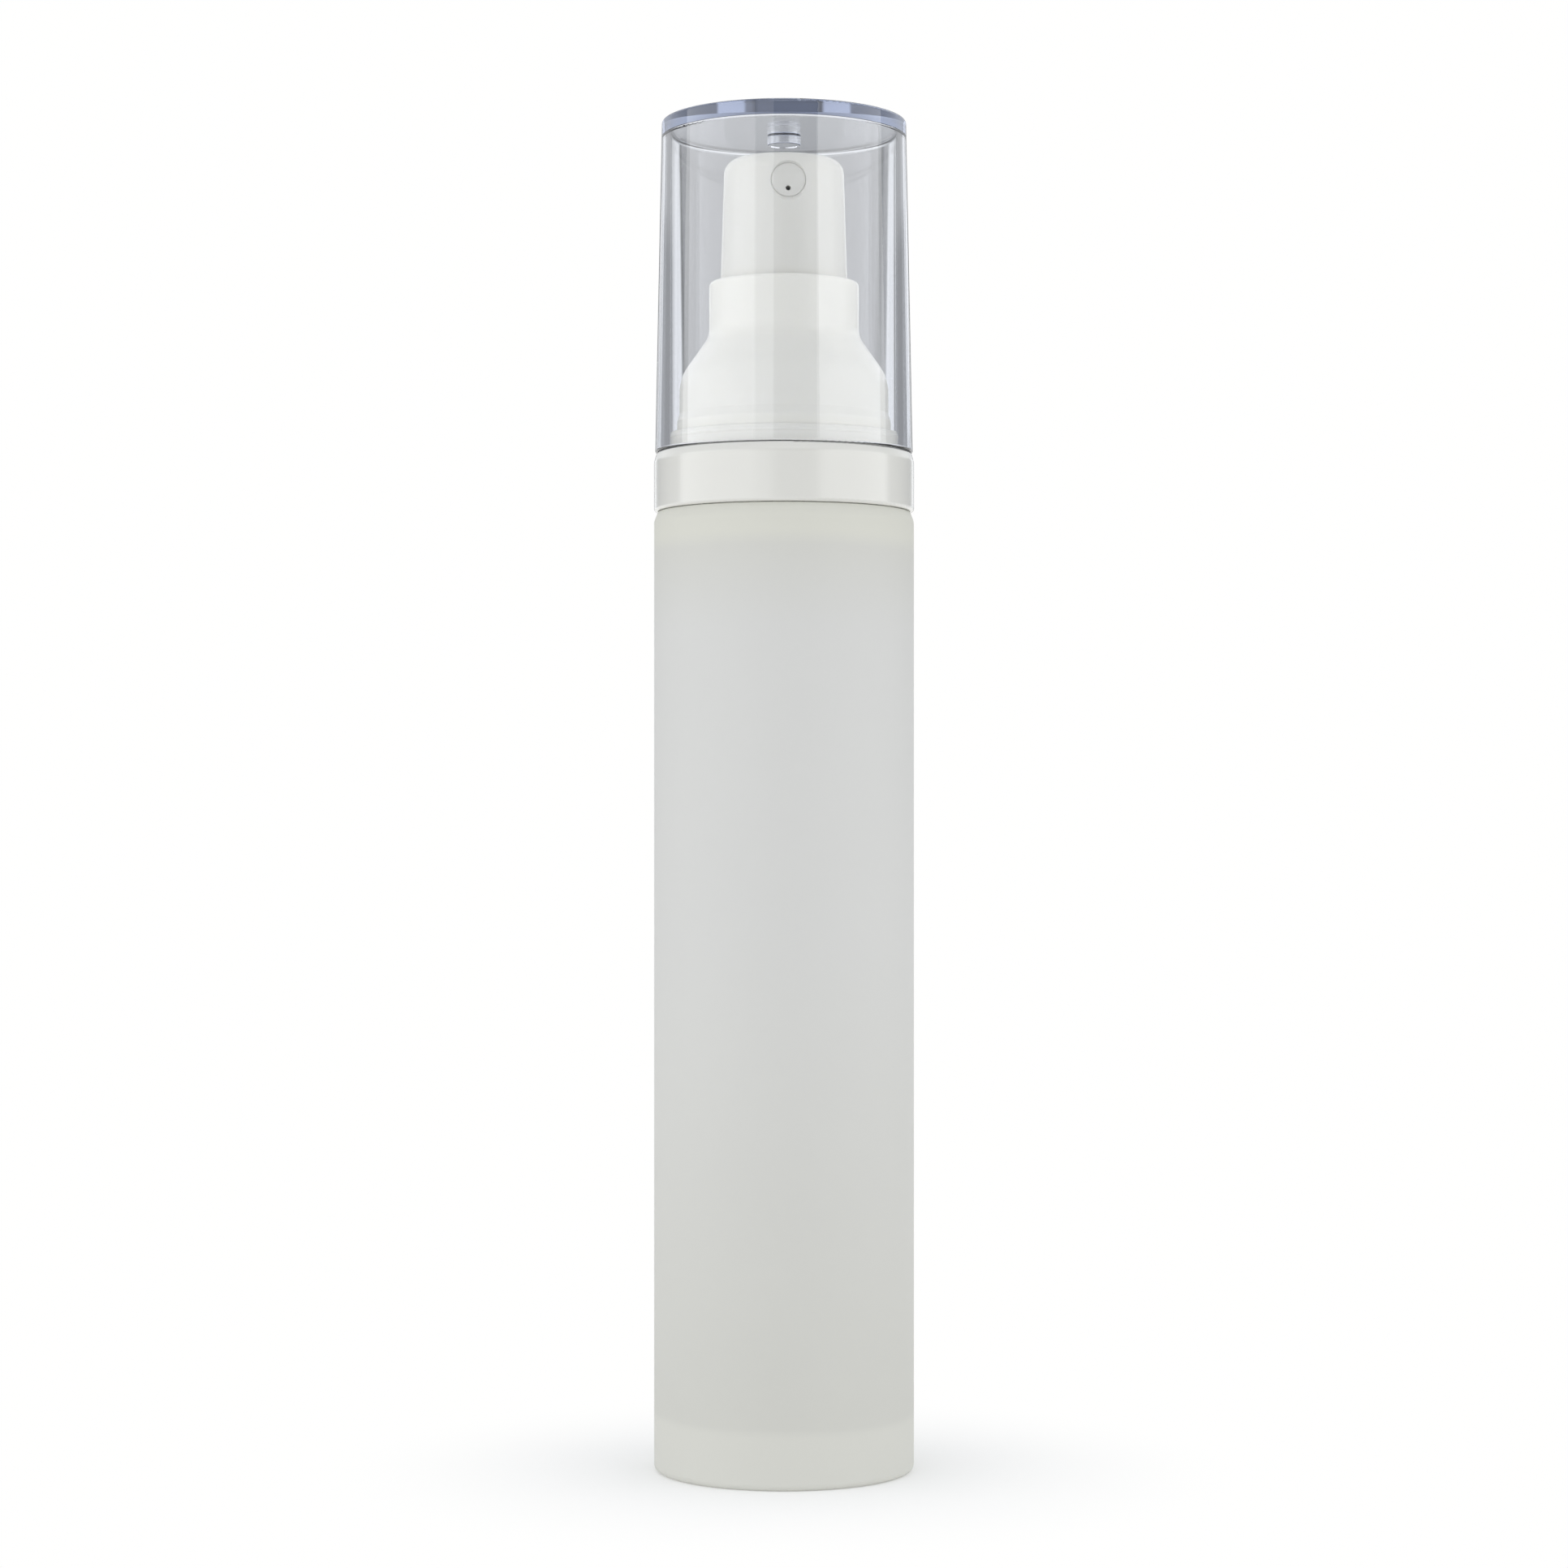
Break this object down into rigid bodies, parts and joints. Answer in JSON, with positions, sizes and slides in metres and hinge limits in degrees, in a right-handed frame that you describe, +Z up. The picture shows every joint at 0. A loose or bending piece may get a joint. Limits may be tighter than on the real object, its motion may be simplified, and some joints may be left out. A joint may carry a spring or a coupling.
{
  "type": "airless pump bottle",
  "caption": "Slim frosted airless pump bottle for foundation or lotion, with a press-down actuator under a clear pull-off overcap.",
  "frame": {"origin": "centre of the base, on the plane the bottle stands on", "axes": "+Z up along the bottle's axis, -Y the way the nozzle faces"},
  "size_m": [0.028, 0.028, 0.1451],
  "materials": {
    "frosted_pp": "frosted",
    "collar_pp": "satin",
    "white_pp": "semi-gloss",
    "button_pp": "semi-gloss",
    "natural_pe": "waxy, slightly translucent",
    "soft_gasket": "matte",
    "spring_steel": "drawn wire",
    "steel_ball": "polished",
    "clear_cap": "clear, faint blue tint"
  },
  "bodies": {
    "bottle": {"bottle_body": "frosted_pp", "base_plug": "white_pp", "neck_gasket": "soft_gasket", "pump_housing": "natural_pe", "inlet_seat": "natural_pe", "housing_cap": "white_pp", "collar_ring": "collar_pp", "shoulder_sleeve": "white_pp", "return_spring": "spring_steel"},
    "plunger": {"stem": "white_pp", "piston_rod": "white_pp"},
    "button": {"actuator": "button_pp", "nozzle_insert": "button_pp"},
    "pump_piston": {"piston_seal": "natural_pe"},
    "check_ball": {"inlet_ball": "steel_ball"},
    "follower": {"follower_piston": "natural_pe"},
    "cap": {"overcap": "clear_cap"}
  },
  "joints": [
    {"name": "cap_pull", "type": "slide", "parent": "bottle", "child": "cap", "axis": [0, 0, 1], "range_m": [0, 0.045]},
    {"name": "pump_stroke", "type": "slide", "parent": "bottle", "child": "plunger", "axis": [0, 0, -1], "range_m": [0, 0.0045], "stiffness_N_per_m": 800, "deforming": ["return_spring"]},
    {"name": "button_turn", "type": "hinge", "parent": "plunger", "child": "button", "pos_m": [0, 0, 0.1377], "axis": [0, 0, 1], "continuous": true},
    {"name": "piston_slide", "type": "slide", "parent": "bottle", "child": "pump_piston", "axis": [0, 0, -1], "range_m": [0, 0.0036]},
    {"name": "ball_lift", "type": "slide", "parent": "bottle", "child": "check_ball", "axis": [0, 0, 1], "range_m": [0, 0.0012]},
    {"name": "follower_rise", "type": "slide", "parent": "bottle", "child": "follower", "axis": [0, 0, 1], "range_m": [0, 0.077]}
  ],
  "couplings": [
    {"joint": "piston_slide", "follows": "pump_stroke", "ratio": 0.8}
  ]
}
